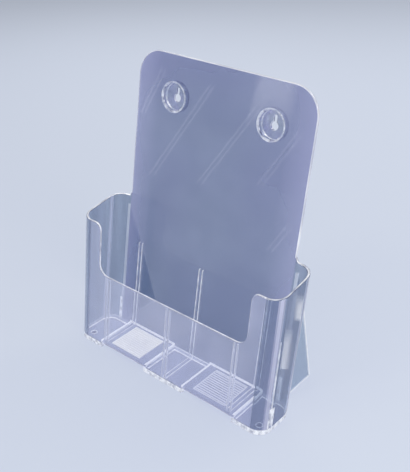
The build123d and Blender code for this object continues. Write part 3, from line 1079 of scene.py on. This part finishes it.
@dataclass
class SideWall(SubAssembly):
    """One side wall with its two round corners, and the return that carries the panel."""

    side: str
    corner: float = 14.0 * MM
    edge: float = 0.5 * MM
    steps: int = 4  # in the hollow curve beside the panel
    rim_fall: float = 3.0 * MM  # the rim falls less than this across the panel's thickness
    front_painted_band: Span = (51.0, 65.0)  # degrees round the corner of the painted highlight bands, at the front and the rear
    rear_painted_band: Span = (70.0, 78.0)
    # degrees by which the fainter painted bands, and the painted glints, reach beyond the painted bands and
    # line
    faint: float = 6.5
    # a thin painted highlight line up the corner, this many degrees round
    painted_line: Span = (71.0, 78.0)
    side_turn: float = 90.0  # where a round corner has become the flat side
    # how high the painted line reaches; below it, how high the painted glints reach at the corners and
    # inside the return
    painted_line_top: float = 92.0 * MM
    sparkle_top: float = 26.0 * MM
    junction_top: float = 30.0 * MM
    upright: float = 0.2  # a corner's faces point up or down less than this
    inward: float = 0.8  # the return's inner face points forwards more than this

    @property
    def sign(self) -> int:
        """The side's direction along x."""
        return SIDES[self.side]

    @property
    def turn_x(self) -> float:
        """How far from the middle the round corners start."""
        return self.layout.half_width - self.corner

    def build(self) -> Item:
        """Bends a skin round the corners, gives it its wall and rounds the rim.

        Returns:
            The piece.
        """
        lay, sign, tall = self.layout, self.sign, SPARE * self.layout.rim_rear
        inner, outer = sorted((sign * lay.panel_half, sign * lay.half_width))
        low, high = (inner, lay.front_y, 0), (outer, lay.panel_back(0), tall)
        piece = self.box(f"{self.side}_side", low, high)
        self.round_outside(piece, sign, self.corner)
        piece.lean(lay, tall, tall)
        piece.pick(Part.FACES, lambda at, out: abs(out.z) > ALONG or sign * out.x < -ALONG)
        bpy.ops.mesh.delete(type="FACE")
        piece.thicken(lay.wall)
        self.match_panel(piece)
        start = (sign * lay.corner_x, 0, 0)
        piece.cut(start, (-sign, 0, 0), cap=Skin.JOINT, only=lambda at, out: lay.in_front(at))
        piece.tag_plane(Skin.JOINT, (sign * lay.panel_half, 0, 0), RIGHT)
        piece.cut((0, 0, lay.foot_top), DOWN, cap=Skin.JOINT)
        piece.cut(lay.rim_point, lay.rim_normal, cap=Skin.EDGE)
        low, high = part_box(f"{self.side}_rear_fin")
        self.join_fin(piece, low, high)
        self.raise_shoulder(piece)
        piece.round_edges(self.edge, skin=Skin.SHEET)
        self.mark_corners(piece)
        # Painted glints on the inside of the return, at the thick foot of the fin
        piece.mark_below(
            Skin.SPARKLE,
            self.junction_top,
            lambda at, out: out.y < -self.inward and not lay.in_front(at) and low.x < at.x < high.x,
        )
        return hand_over(piece.finish(), f"{self.side}_side_wall")

    def match_panel(self, piece: Workpiece) -> None:
        """Makes the return as thick as the panel, so that their faces run on.

        Args:
            piece: The side wall.
        """
        lay = self.layout

        def is_inner_rear(at: Vector) -> bool:
            """Picks the corners of the return's inner face, and of the rear corner's.

            Args:
                at: A corner's place.

            Returns:
                True for one of them.
            """
            depth = (lay.panel_back(at.z) - at.y) * math.cos(lay.lean)
            if lay.in_front(at):
                return False
            if abs(at.x) < self.turn_x + NEAR:
                return depth > lay.wall / 2
            return math.hypot(abs(at.x) - self.turn_x, depth - self.corner) < self.corner - lay.wall / 2

        extra = (lay.panel_thickness - lay.wall) / math.cos(lay.lean)
        piece.move(is_inner_rear, (0, -extra, 0))

    def join_fin(self, piece: Workpiece, low: Vector, high: Vector) -> None:
        """Opens the back of the return where the fin runs into it.

        Args:
            piece: The side wall.
            low: The least corner of the fin's box.
            high: The opposite corner.
        """
        lay = self.layout

        def is_behind(at: Vector, out: Vector) -> bool:
            """True for the return's faces."""
            return not lay.in_front(at) and self.sign * at.x < self.turn_x

        piece.cut((0, 0, high.z), UP, only=is_behind)
        for x in (low.x, high.x):
            piece.cut((x, 0, 0), RIGHT, only=lambda at, out: is_behind(at, out) and at.z < high.z)
        piece.tag_plane(
            Skin.JOINT,
            (0, lay.panel_back(0), 0),
            (0, math.cos(lay.lean), -math.sin(lay.lean)),
            lambda middle: low.x < middle.x < high.x and middle.z < high.z,
        )

    def raise_shoulder(self, piece: Workpiece) -> None:
        """Lifts the rim beside the panel in a hollow quarter circle.

        Args:
            piece: The side wall.
        """
        lay, size = self.layout, self.layout.shoulder
        up = Vector((0, math.sin(lay.lean), math.cos(lay.lean)))
        rim_low = lay.rim_rear - self.rim_fall
        for step in range(self.steps + 1):
            angle = math.pi / 2 * step / self.steps
            x = self.sign * (lay.panel_half + size * (1 - math.sin(angle)))
            if step < self.steps:
                piece.cut((x, 0, 0), RIGHT, only=lambda at, out: not lay.in_front(at))
            piece.move(
                lambda at: abs(at.x - x) < NEAR and at.z > rim_low, size * (1 - math.cos(angle)) * up
            )

    def mark_corners(self, piece: Workpiece) -> None:
        """Paints highlight bands, a thin highlight line and glints up the outside of the round corners,
        where the curved walls would mirror light.

        Args:
            piece: The side wall.
        """

        def turned(out: Vector) -> float:
            """How many degrees round a corner an outer face lies, or 0 for another face."""
            outside = self.sign * out.x > 0 and abs(out.z) <= self.upright
            return math.degrees(math.atan2(self.sign * out.x, abs(out.y))) if outside else 0.0

        start, end = self.painted_line
        for skin, top, first, last in (
            (Skin.SPARKLE, self.sparkle_top, start - self.faint, self.side_turn),
            (Skin.EDGE, self.painted_line_top, start, end),
        ):
            piece.mark_below(skin, top, lambda at, out: out.y < 0 and first < turned(out) < last)
        for skin, beyond in ((Skin.GLOW, 0), (Skin.FAINT, self.faint)):
            for forwards, (first, last) in ((True, self.front_painted_band), (False, self.rear_painted_band)):
                piece.tag(
                    skin,
                    lambda at, out: (out.y < 0) == forwards
                    and first - beyond < turned(out) < last + beyond,
                    Skin.SHEET,
                )


@dataclass
class Foot(SubAssembly):
    """A shallow tray that stands on the table."""

    name: str
    floor: float = 2.0 * MM
    step_wall: float = 2.0 * MM
    corner: float = 14.0 * MM
    edge: float = 0.9 * MM
    ring_radius: float = 3.4 * MM
    ring_width: float = 0.8 * MM
    ring_height: float = 0.4 * MM
    ring_from_side: float = 12.0 * MM
    ring_from_front: float = 12.4 * MM
    ring_sides: int = 32
    sunk: float = 0.1 * MM  # how far the ring reaches into the floor
    fillet_radius: float = 0.8 * MM

    def build(self) -> Item:
        """Shapes a solid foot, then hollows it out from above.

        Returns:
            The piece.
        """
        lay, sign = self.layout, SIDES.get(self.name, 0)
        ends = (-lay.centre_foot_x, lay.centre_foot_x)
        if sign:
            ends = sorted((sign * lay.side_foot_x, sign * lay.half_width))
        low, high = (ends[0], lay.front_y, 0), (ends[1], lay.panel_back(0), lay.foot_top)
        piece = self.box(f"{self.name}_tray", low, high)
        if sign:
            self.round_outside(piece, sign, self.corner)
        piece.lean(lay, lay.foot_top, lay.foot_top)
        piece.pick(Part.FACES, lambda at, out: out.z > ALONG)
        piece.inset(self.step_wall)
        for thickness, angle, way in ((lay.wall, lay.front_lean, 1), (lay.panel_thickness, lay.lean, -1)):
            extra = way * (thickness - self.step_wall) / math.cos(angle)
            piece.move(lambda at: self.is_inside(at) and (lay.middle_y - at.y) * way > 0, (0, extra, 0))
        piece.choose(
            Part.FACES, lambda face: face.normal.z > ALONG and all(self.is_inside(v.co) for v in face.verts)
        )
        drop = lay.foot_top - self.floor
        piece.sink(drop)
        piece.lean(lay, -drop, self.floor, self.is_inside)
        piece.tag_plane(Skin.JOINT, (0, 0, lay.foot_top), UP)
        # The outer band takes the edge finish, with its painted glints.
        # The outer faces run from the table up to the wall, so their middles are halfway
        middle = lay.foot_top / 2
        piece.tag(Skin.EDGE, lambda at, out: abs(out.z) < SLANTED and abs(at.z - middle) < NEAR)
        self.fillet(piece)
        piece.round_corner(self.edge, lambda at, way: abs(at.z) < NEAR)
        if sign:
            self.add_ring(piece, sign)
        return hand_over(piece.finish(), f"{self.name}_foot")

    def is_inside(self, at: Vector) -> bool:
        """Tells the corners of the tray's hollow from those of its outside.

        Args:
            at: A corner's place.

        Returns:
            True for a corner of the hollow, at or above its floor.
        """
        lay, sign, half_wall = self.layout, SIDES.get(self.name, 0), self.step_wall / 2
        x, low, high = abs(at.x), -NEAR, lay.centre_foot_x - half_wall
        if sign:
            x, low, high = sign * at.x, lay.side_foot_x + half_wall, lay.half_width - half_wall
        front, rear = lay.front_outer(at.z), lay.panel_back(at.z)
        inside = low < x < high and front + half_wall < at.y < rear - half_wall
        if at.z < self.floor - NEAR or not inside:
            return False
        turn_x = lay.half_width - self.corner
        front, rear = front + self.corner, rear - self.corner
        if not sign or x < turn_x or front <= at.y <= rear:
            return True
        turn_y = front if at.y < front else rear
        return math.hypot(x - turn_x, at.y - turn_y) <= self.corner - half_wall

    def fillet(self, piece: Workpiece) -> None:
        """Rounds the hollow where its floor meets its walls, in the bright finish: a painted highlight
        along the curve.

        Args:
            piece: The foot.
        """

        def meets_wall(edge: Edge) -> bool:
            """True for an edge between the floor and a wall."""
            level = all(abs(corner.co.z - self.floor) < NEAR for corner in edge.verts)
            return level and any(abs(face.normal.z) < SLANTED for face in edge.link_faces)

        if piece.choose(Part.EDGES, meets_wall):
            piece.bevel(self.fillet_radius, ROUND_FLATS, Skin.EDGE)

    def add_ring(self, piece: Workpiece, sign: int) -> None:
        """Adds the low round ring on the tray's floor.

        Args:
            piece: The foot.
            sign: The side's direction along x.
        """
        lay, height = self.layout, self.ring_height + self.sunk
        x, y = sign * (lay.half_width - self.ring_from_side), lay.front_y + self.ring_from_front
        place = Vector((x, y, self.floor - self.sunk + height / 2))
        bpy.ops.mesh.select_all(action="DESELECT")
        bpy.ops.mesh.primitive_cylinder_add(
            vertices=self.ring_sides, radius=self.ring_radius, depth=height, location=place
        )
        top = self.floor + self.ring_height
        piece.pick(Part.FACES, lambda at, out: out.z > ALONG and abs(at.z - top) < NEAR)
        piece.inset(self.ring_width)
        piece.sink(self.ring_height)
        piece.tag(
            Skin.EDGE,
            lambda at, out: (at - place).xy.length < self.ring_radius and at.z > self.floor + NEAR,
        )


@dataclass
class RaisedFloor(SubAssembly):
    """The floor between two feet, with its ribbed grip pad."""

    pad_finishes: Finishes
    side: str
    frame: float = 1.2 * MM
    base: float = 0.5 * MM
    ridges: int = 12
    ridge_share: float = 0.96  # of the pitch, at a ridge's foot
    ridge_drop: float = 0.02 * MM  # how far the crests stay below the frame
    crest: float = 0.5  # share of each ridge's width
    sunk: float = 0.05 * MM
    edge: float = 0.8 * MM
    band: float = 2.2 * MM  # a painted highlight: the bright strip over each step
    cove: float = 1.8 * MM  # the small hollow curve where the floor meets the panel
    cove_steps: int = 4
    cove_tilt: float = 0.02  # its steepest face points up more than this

    def build(self) -> list[Item]:
        """Shapes the floor and the pad on it."""
        return [self.build_floor(), self.build_pad()]

    def build_floor(self) -> Item:
        """Shapes the floor between the walls, round at its two open ends.

        Returns:
            The piece.
        """
        lay, node = self.layout, f"{self.side}_raised_floor"
        low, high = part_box(node)
        start = (low.x, lay.front_inner(low.z), low.z)
        end = (high.x, lay.panel_front(low.z), high.z)
        piece = self.box(f"{self.side}_floor", start, end)
        piece.lean(lay, high.z - low.z, high.z)
        piece.tag(Skin.JOINT, lambda at, out: abs(out.y) > ALONG)
        # The floor's two end faces take the bright finish: a painted highlight.
        piece.tag(Skin.EDGE, lambda at, out: abs(out.x) > ALONG)
        seam = lay.panel_front(high.z) - self.cove
        turns = [step * math.pi / 2 / self.cove_steps for step in range(self.cove_steps + 1)]
        for turn in turns[:-1]:
            cut = (0, seam + self.cove * math.sin(turn), 0)
            piece.cut(cut, REAR, only=lambda at, out: out.z > SLANTED)
        for turn in turns[1:]:
            reach, rise = self.cove * math.sin(turn), self.cove * (1 - math.cos(turn))
            piece.move(
                lambda at: abs(at.y - seam - reach) < NEAR and at.z > high.z - NEAR,
                (0, rise * math.tan(lay.lean), rise),
            )
        # The cove takes the bright finish: a painted highlight.
        piece.tag(Skin.EDGE, lambda at, out: self.cove_tilt < out.z < ALONG and at.y > seam)
        first, last = low.x + self.band, high.x - self.band
        for x in (first, last):
            piece.cut((x, 0, 0), RIGHT, only=lambda at, out: out.z > SLANTED)
        piece.tag(Skin.EDGE, lambda at, out: out.z > SLANTED and not first < at.x < last)
        piece.round_edges(
            self.edge, lambda at: min(abs(at.x - low.x), abs(at.x - high.x)) < NEAR, flats=THIN_FLATS
        )
        return hand_over(piece.finish(), node)

    def build_pad(self) -> Item:
        """Shapes the framed pad and copies one ridge across it.

        Returns:
            The piece.
        """
        node, frame = f"{self.side}_grip_pad", self.frame
        low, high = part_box(node)
        start = (low.x, low.y, low.z - self.sunk)
        piece = replace(self, finishes=self.pad_finishes).box(f"{self.side}_pad", start, high)
        piece.pick(Part.FACES, lambda at, out: out.z > ALONG)
        piece.inset(frame)
        x0, x1, y0, y1 = low.x + frame, high.x - frame, low.y + frame, high.y - frame
        piece.tag_plane(Skin.EDGE, high, UP, lambda at: not (x0 < at.x < x1 and y0 < at.y < y1))
        bed = low.z + self.base
        piece.sink(high.z - bed)
        piece.tag(Skin.JOINT, lambda at, out: out.z < -ALONG)
        pitch = (y1 - y0) / self.ridges
        foot = bed - self.sunk
        crest = foot + self.base - self.ridge_drop
        self.add_ridge(piece, (x0, y0, foot), (x1, y0 + pitch, crest))
        for _ in range(self.ridges - 1):
            piece.repeat((0, pitch, 0))
        return hand_over(piece.finish(), node)

    def add_ridge(self, piece: Workpiece, low: Point, high: Point) -> None:
        """Adds the first ridge, narrowed to a crest, and leaves its faces selected.

        Args:
            piece: The pad.
            low: The least corner of the ridge's place.
            high: The opposite corner.
        """
        (x0, y0, foot), (x1, y1, crest) = low, high
        bpy.ops.mesh.select_all(action="DESELECT")
        bpy.ops.mesh.primitive_cube_add(
            size=1.0,
            location=((x0 + x1) / 2, (y0 + y1) / 2, (foot + crest) / 2),
            scale=(x1 - x0, (y1 - y0) * self.ridge_share, crest - foot),
        )

        def on_ridge(corner: Corner) -> bool:
            """True for a corner of the new ridge."""
            x, y, z = corner.co
            level = foot - NEAR <= z <= crest + NEAR
            return level and x0 - NEAR <= x <= x1 + NEAR and y0 < y < y1

        piece.choose(Part.CORNERS, lambda item: on_ridge(item) and abs(item.co.z - crest) < NEAR)
        bpy.ops.transform.resize(value=(1, self.crest, 1))
        piece.tag_plane(Skin.EDGE, (0, 0, crest), UP)
        piece.choose(Part.FACES, lambda face: all(map(on_ridge, face.verts)))


class Run(Enum):
    """The three runs of rails that make one divider channel."""

    BACK = "back_rails"
    FRONT = "front_rails"
    FLOOR = "floor_rails"


@dataclass
class DividerChannel(SubAssembly):
    """A pair of thin rails up the panel, across the floor and up the front wall."""

    name: str
    thickness: float = 1.0 * MM
    depth: float = 2.0 * MM
    tip: float = 1.4 * MM
    tip_flats: int = 4
    edge: float = 0.25 * MM
    sunk: float = 0.1 * MM

    def build(self) -> list[Item]:
        """Shapes the three runs."""
        return [self.build_upright(Run.BACK), self.build_upright(Run.FRONT), self.build_floor()]

    def start(self, run: Run, low: Point, high: Point) -> Workpiece:
        """Starts a run from its first rail."""
        return self.box(f"{self.name}_{run.name.lower()}_rail", low, high)

    def end(self, piece: Workpiece, run: Run, spread: float) -> Item:
        """Copies the first rail to the channel's other side.

        Args:
            piece: The first rail.
            run: The run that it belongs to.
            spread: How wide the channel is over both rails.

        Returns:
            The piece.
        """
        bpy.ops.mesh.select_all(action="SELECT")
        piece.repeat((spread - self.thickness, 0, 0))
        return hand_over(piece.finish(), f"{self.name}_{run.value}")

    def build_upright(self, run: Run) -> Item:
        """Shapes a run up a leaning wall.

        Args:
            run: The run up the panel, or the one up the front wall.

        Returns:
            The piece.
        """
        lay = self.layout
        low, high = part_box(f"{self.name}_{run.value}")
        if run is Run.BACK:
            plane, angle, foot, crest = lay.panel_plane, lay.lean, -self.sunk, self.depth
            top = (high.z - self.depth * math.sin(angle)) / math.cos(angle)
        else:
            plane, angle = lay.front_plane, lay.front_lean
            foot, crest = self.sunk - lay.wall, -lay.wall - self.depth
            top = (high.z + lay.wall * math.sin(angle)) / math.cos(angle)
        near, far = sorted((foot, crest))
        piece = self.start(run, (low.x, 0, near), (low.x + self.thickness, top, far))
        piece.tag_plane(Skin.EDGE, (0, 0, crest), UP)
        piece.tag_plane(Skin.EDGE, (0, top, 0), REAR)
        piece.tag_plane(Skin.JOINT, (0, 0, foot), UP)
        piece.round_corner(
            self.tip,
            lambda at, way: abs(way.x) > ALONG and abs(at.z - crest) < NEAR and at.y > top - NEAR,
            self.tip_flats,
        )
        piece.round_edges(self.edge, flats=THIN_FLATS)
        piece.place(plane)
        piece.cut((0, 0, low.z), DOWN, cap=Skin.JOINT)
        return self.end(piece, run, high.x - low.x)

    def build_floor(self) -> Item:
        """Shapes the run across the floor, between the two uprights.

        Returns:
            The piece.
        """
        lay, run = self.layout, Run.FLOOR
        low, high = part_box(f"{self.name}_{run.value}")
        front = lay.front_inner(low.z) + self.depth / math.cos(lay.front_lean)
        rear = lay.panel_front(low.z) - self.depth / math.cos(lay.lean)
        start = (low.x, front, low.z - self.sunk)
        piece = self.start(run, start, (low.x + self.thickness, rear, high.z))
        piece.lean(lay, high.z - low.z, high.z)
        piece.tag(Skin.JOINT, lambda at, out: abs(out.y) > ALONG or out.z < -ALONG)
        piece.tag_plane(Skin.EDGE, (0, 0, high.z), UP)
        piece.round_edges(self.edge, flats=THIN_FLATS)
        return self.end(piece, run, high.x - low.x)


@dataclass
class RearFin(SubAssembly):
    """An upright plate behind the panel that reaches back to a round toe on the table."""

    side: str
    top_depth: float = 2.4 * MM
    top_radius: float = 0.8 * MM
    top_flats: int = 4
    toe_radius: float = 2.0 * MM
    toe_flats: int = 6
    edge: float = 0.5 * MM
    rim: float = 1.1 * MM  # a painted highlight: the bright line along each face's outline
    flat: float = 0.999  # a side face points along x more than this

    def build(self) -> Item:
        """Shapes the fin from a box and rounds its toe, top and edges.

        Returns:
            The piece.
        """
        lay, node = self.layout, f"{self.side}_rear_fin"
        low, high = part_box(node)
        start, lean_over = lay.panel_back(0), high.z * math.tan(lay.lean)
        top_y = start + lean_over + self.top_depth
        slope = math.atan2(high.z, high.y - start - lean_over - self.top_depth)
        toe = self.toe_radius / math.tan(slope / 2)
        heel = high.y - self.toe_radius + toe
        piece = self.box(f"{self.side}_fin", (low.x, start, 0), (high.x, heel, high.z))
        piece.move(lambda at: at.z > NEAR and at.y < start + NEAR, (0, lean_over, 0))
        piece.move(lambda at: at.z > NEAR and at.y > heel - NEAR, (0, top_y - heel, 0))
        # The narrow faces take the bright finish, a painted highlight; the face against the panel takes the
        # painted strip of light.
        piece.tag(Skin.EDGE, lambda at, out: abs(out.x) < SLANTED)
        piece.tag(Skin.JOINT, lambda at, out: out.y < -ALONG)
        for radius, flats, rear, below, above in (
            (toe, self.toe_flats, heel - NEAR, -NEAR, NEAR),
            (self.top_radius, self.top_flats, start + lean_over + NEAR, high.z - NEAR, high.z + NEAR),
        ):
            piece.round_corner(
                radius, lambda at, way: abs(way.x) > ALONG and below < at.z < above and at.y > rear, flats
            )
        piece.round_edges(self.edge, flats=THIN_FLATS)
        if piece.pick(Part.FACES, lambda at, out: abs(out.x) > self.flat):
            piece.tag_chosen(Skin.EDGE)
            piece.inset(self.rim)
            piece.tag_chosen(Skin.SHEET)
        return hand_over(piece.finish(), node)


# -------- the studio


def hang(data: bpy.types.ID) -> Item:
    """Puts a lamp or the camera in the room.

    Args:
        data: The lamp or the camera.

    Returns:
        Its object.
    """
    item = bpy.data.objects.new(data.name, data)
    bpy.context.scene.collection.objects.link(item)
    return item


def turned_to(way: Vector) -> Euler:
    """The turn that points a lamp or the camera a way."""
    return way.to_track_quat("-Z", "Y").to_euler()


@dataclass(frozen=True)
class Softbox:
    """A square white lamp with a soft even face, aimed at a point."""

    name: str
    place: tuple[float, float, float]
    size: float
    power: float

    def build(self, target: Vector) -> None:
        """Hangs the lamp and turns it to the target.

        Args:
            target: The point that it lights.
        """
        data = bpy.data.lights.new(self.name, "AREA")
        data.size, data.energy = self.size, self.power
        lamp = hang(data)
        lamp.location = self.place
        lamp.rotation_euler = turned_to(target - Vector(self.place))


@dataclass(frozen=True)
class Gleam:
    """A dim strip lamp, hung where a flat face mirrors it to the camera as one streak."""

    start: Span  # on the face's plane, in millimetres
    end: Span
    width: float = 1.6
    radiance: float = 1.5
    distance: float = 0.35
    colour: Colour = (1.0, 1.0, 1.0)

    def build(self, plane: Matrix, camera: Vector) -> None:
        """Hangs the strip between the two mirrored places.

        Args:
            plane: The face's plane.
            camera: The camera's place.
        """
        normal = plane.to_3x3() @ Vector((0, 0, 1))
        ends, ways, spread = [], [], 1.0
        for x, rise in (self.start, self.end):
            spot = plane @ Vector((x * MM, rise * MM, 0))
            sight = spot - camera
            spread = (sight.length + self.distance) / sight.length
            ways.append(sight.normalized().reflect(normal))
            ends.append(spot + self.distance * ways[-1])
        along = (ends[1] - ends[0]).normalized()
        back = (ways[0] + ways[1]).normalized()
        back = (back - back.dot(along) * along).normalized()
        data = bpy.data.lights.new("gleam", "AREA")
        data.shape = "RECTANGLE"
        data.size, data.size_y = (ends[1] - ends[0]).length, self.width * MM * spread
        data.energy = self.radiance * math.pi * data.size * data.size_y
        data.color = self.colour
        lamp = hang(data)
        turn = Matrix((along, back.cross(along), back)).transposed().to_4x4()
        lamp.matrix_world = Matrix.Translation((ends[0] + ends[1]) / 2) @ turn
        lamp.visible_camera = lamp.visible_diffuse = lamp.visible_transmission = False


SOFTBOXES = (
    Softbox("key_softbox", (-0.7, -1.5, 1.5), size=0.6, power=11.5),
    Softbox("fill_softbox", (1.4, -0.3, 1.2), size=0.5, power=12.0),
    Softbox("back_softbox", (0.3, 1.6, 1.2), size=0.5, power=8.0),
    Softbox("front_softbox", (0.5, -1.5, 0.45), size=0.4, power=2.2),
    Softbox("pad_softbox", (-1.0, 0.82, 0.93), size=0.35, power=3.0),
)

STREAK_SHIFTS = (-2.5, 2.5)  # each streak on the panel is a pair of lines, in millimetres
PANEL_STREAKS = (
    ((-67, 274), (-90, 228)),
    ((-11, 270), (-73, 171)),
    ((48, 275), (-14, 180)),
    ((84, 253), (51, 197)),
    ((88, 174), (70, 143)),
)


@dataclass(frozen=True)
class Patch:
    """A soft patch of light: strips that lie in each other, each narrower than the last."""

    start: Span  # the first strip, in millimetres on the face's plane
    end: Span
    start_rise: float  # how much higher each strip starts and ends than the last
    end_rise: float
    width: float
    narrowing: float
    radiance: float
    distance: float = 0.1
    colour: Colour = (1.0, 0.97, 0.90)

    def strip(self, step: int) -> Gleam:
        """Makes one strip.

        Args:
            step: Its number, from 0 for the widest.

        Returns:
            The strip's lamp.
        """
        start = (self.start[0], self.start[1] + self.start_rise * step)
        end = (self.end[0], self.end[1] + self.end_rise * step)
        width = self.width - self.narrowing * step
        return Gleam(start, end, width, self.radiance, self.distance, self.colour)


PANEL_PATCH = Patch(
    (56, 291), (51, 246), start_rise=0, end_rise=6, width=36.0, narrowing=2.5, radiance=0.6,
    distance=0.35, colour=(1.0, 1.0, 1.0),
)
SIDE_PATCHES = (
    Patch((-26, 34), (-22.5, 103), 5, -4, width=12.0, narrowing=2.2, radiance=0.6),
    Patch((-4.5, 101), (-3.5, 126), 1, -3, width=8.0, narrowing=1.5, radiance=0.75),
)
PANEL_STRIPS, SIDE_STRIPS = 6, 4


def panel_gleams() -> Iterable[Gleam]:
    """Lays out the streaks, and the soft patch, that the lamps leave on the panel.

    Returns:
        The strip lamps, one after the other.
    """
    for start, end in PANEL_STREAKS:
        for shift in STREAK_SHIFTS:
            yield Gleam((start[0] + shift, start[1]), (end[0] + shift, end[1]))
    yield from (PANEL_PATCH.strip(step) for step in range(PANEL_STRIPS))


def side_gleams() -> Iterable[Gleam]:
    """Lays out the two soft patches that the lamps leave on the right side wall."""
    return (patch.strip(step) for step in range(SIDE_STRIPS) for patch in SIDE_PATCHES)


@dataclass(frozen=True)
class Studio:
    """The floor, the lamps and the camera."""

    floor_colour: Colour = (0.62, 0.67, 0.77)
    floor_side: float = 12.0
    floor_gap: float = 0.1 * MM  # keeps the feet's undersides clear of the floor's face
    world_colour: Colour = (0.95, 0.96, 1.0)
    world_strength: float = 0.47
    azimuth: float = math.radians(40.09)
    elevation: float = math.radians(29.45)
    distance: float = 0.67139
    aim: tuple[float, float, float] = (0.01565, -0.00448, 0.14567)
    lens: float = 58.10
    bounces: int = 32
    clear_bounces: int = 24  # light meets many faces on its way through clear walls
    joint_bounces: int = 64
    brightest: float = 1.2  # keeps stray glints from speckling the plastic

    def build(self, layout: Layout) -> None:
        """Sets everything up round the rack.

        Args:
            layout: Where the rack's faces lie.
        """
        self.build_floor()
        self.build_world()
        for box in SOFTBOXES:
            box.build(Vector(self.aim))
        camera = self.build_camera()
        for gleam in panel_gleams():
            gleam.build(layout.panel_plane, camera.location)
        for gleam in side_gleams():
            gleam.build(layout.side_plane, camera.location)
        bpy.context.scene.view_settings.view_transform = "Standard"
        cycles = bpy.context.scene.cycles
        cycles.transparent_max_bounces, cycles.max_bounces = self.joint_bounces, self.bounces
        cycles.transmission_bounces = cycles.glossy_bounces = self.clear_bounces
        cycles.sample_clamp_indirect = self.brightest

    def build_floor(self) -> None:
        """Lays the floor."""
        deselect_all()
        bpy.ops.mesh.primitive_plane_add(size=self.floor_side)
        floor = bpy.context.object
        floor.name = "floor"
        bpy.ops.transform.translate(value=(0, 0, -self.floor_gap))
        bpy.ops.object.transform_apply(location=True)
        floor.data.materials.append(FloorPaint("floor_paint", self.floor_colour).build())
        floor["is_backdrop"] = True

    def build_world(self) -> None:
        """Lights the room evenly from all round."""
        world = bpy.data.worlds.new("room")
        world.use_nodes = True
        light = world.node_tree.nodes["Background"].inputs
        light["Color"].default_value = (*self.world_colour, 1)
        light["Strength"].default_value = self.world_strength
        bpy.context.scene.world = world

    def build_camera(self) -> Item:
        """Puts the camera to the right of the front, looking down on the rack.

        Returns:
            The camera.
        """
        flat, rise = math.cos(self.elevation) * self.distance, math.sin(self.elevation)
        across, back = math.sin(self.azimuth) * flat, math.cos(self.azimuth) * flat
        offset = Vector((across, -back, rise * self.distance))
        data = bpy.data.cameras.new("camera")
        data.lens = self.lens
        camera = hang(data)
        camera.location = Vector(self.aim) + offset
        camera.rotation_euler = turned_to(-offset)
        bpy.context.scene.camera = camera
        return camera


# -------- the whole rack


def build_rack(layout: Layout, palette: Palette) -> list[Item]:
    """Builds every piece of the rack.

    Args:
        layout: Where the main faces lie.
        palette: The finished materials.

    Returns:
        The pieces.
    """
    pieces = [BackPanel(layout, palette.panel).build(), FrontWall(layout, palette.wall).build()]
    for side in SIDES:
        pieces.append(KeyholeCup(layout, palette.cup, side).build())
        pieces.append(SideWall(layout, palette.side, side).build())
        pieces.extend(RaisedFloor(layout, palette.floor, palette.pads[side], side).build())
        pieces.append(RearFin(layout, palette.fin, side).build())
    for name in ("left", "centre", "right"):
        pieces.append(Foot(layout, palette.foot, name).build())
        pieces.extend(DividerChannel(layout, palette.rail, name).build())
    return pieces


def main() -> None:
    """Builds the rack in its studio."""
    logging.basicConfig(level=logging.INFO, format="%(name)s: %(message)s")
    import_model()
    layout = Layout.read()
    pieces = build_rack(layout, Palette())
    LOG.info("%d pieces", len(pieces))
    Studio().build(layout)


if __name__ == "__main__":
    main()
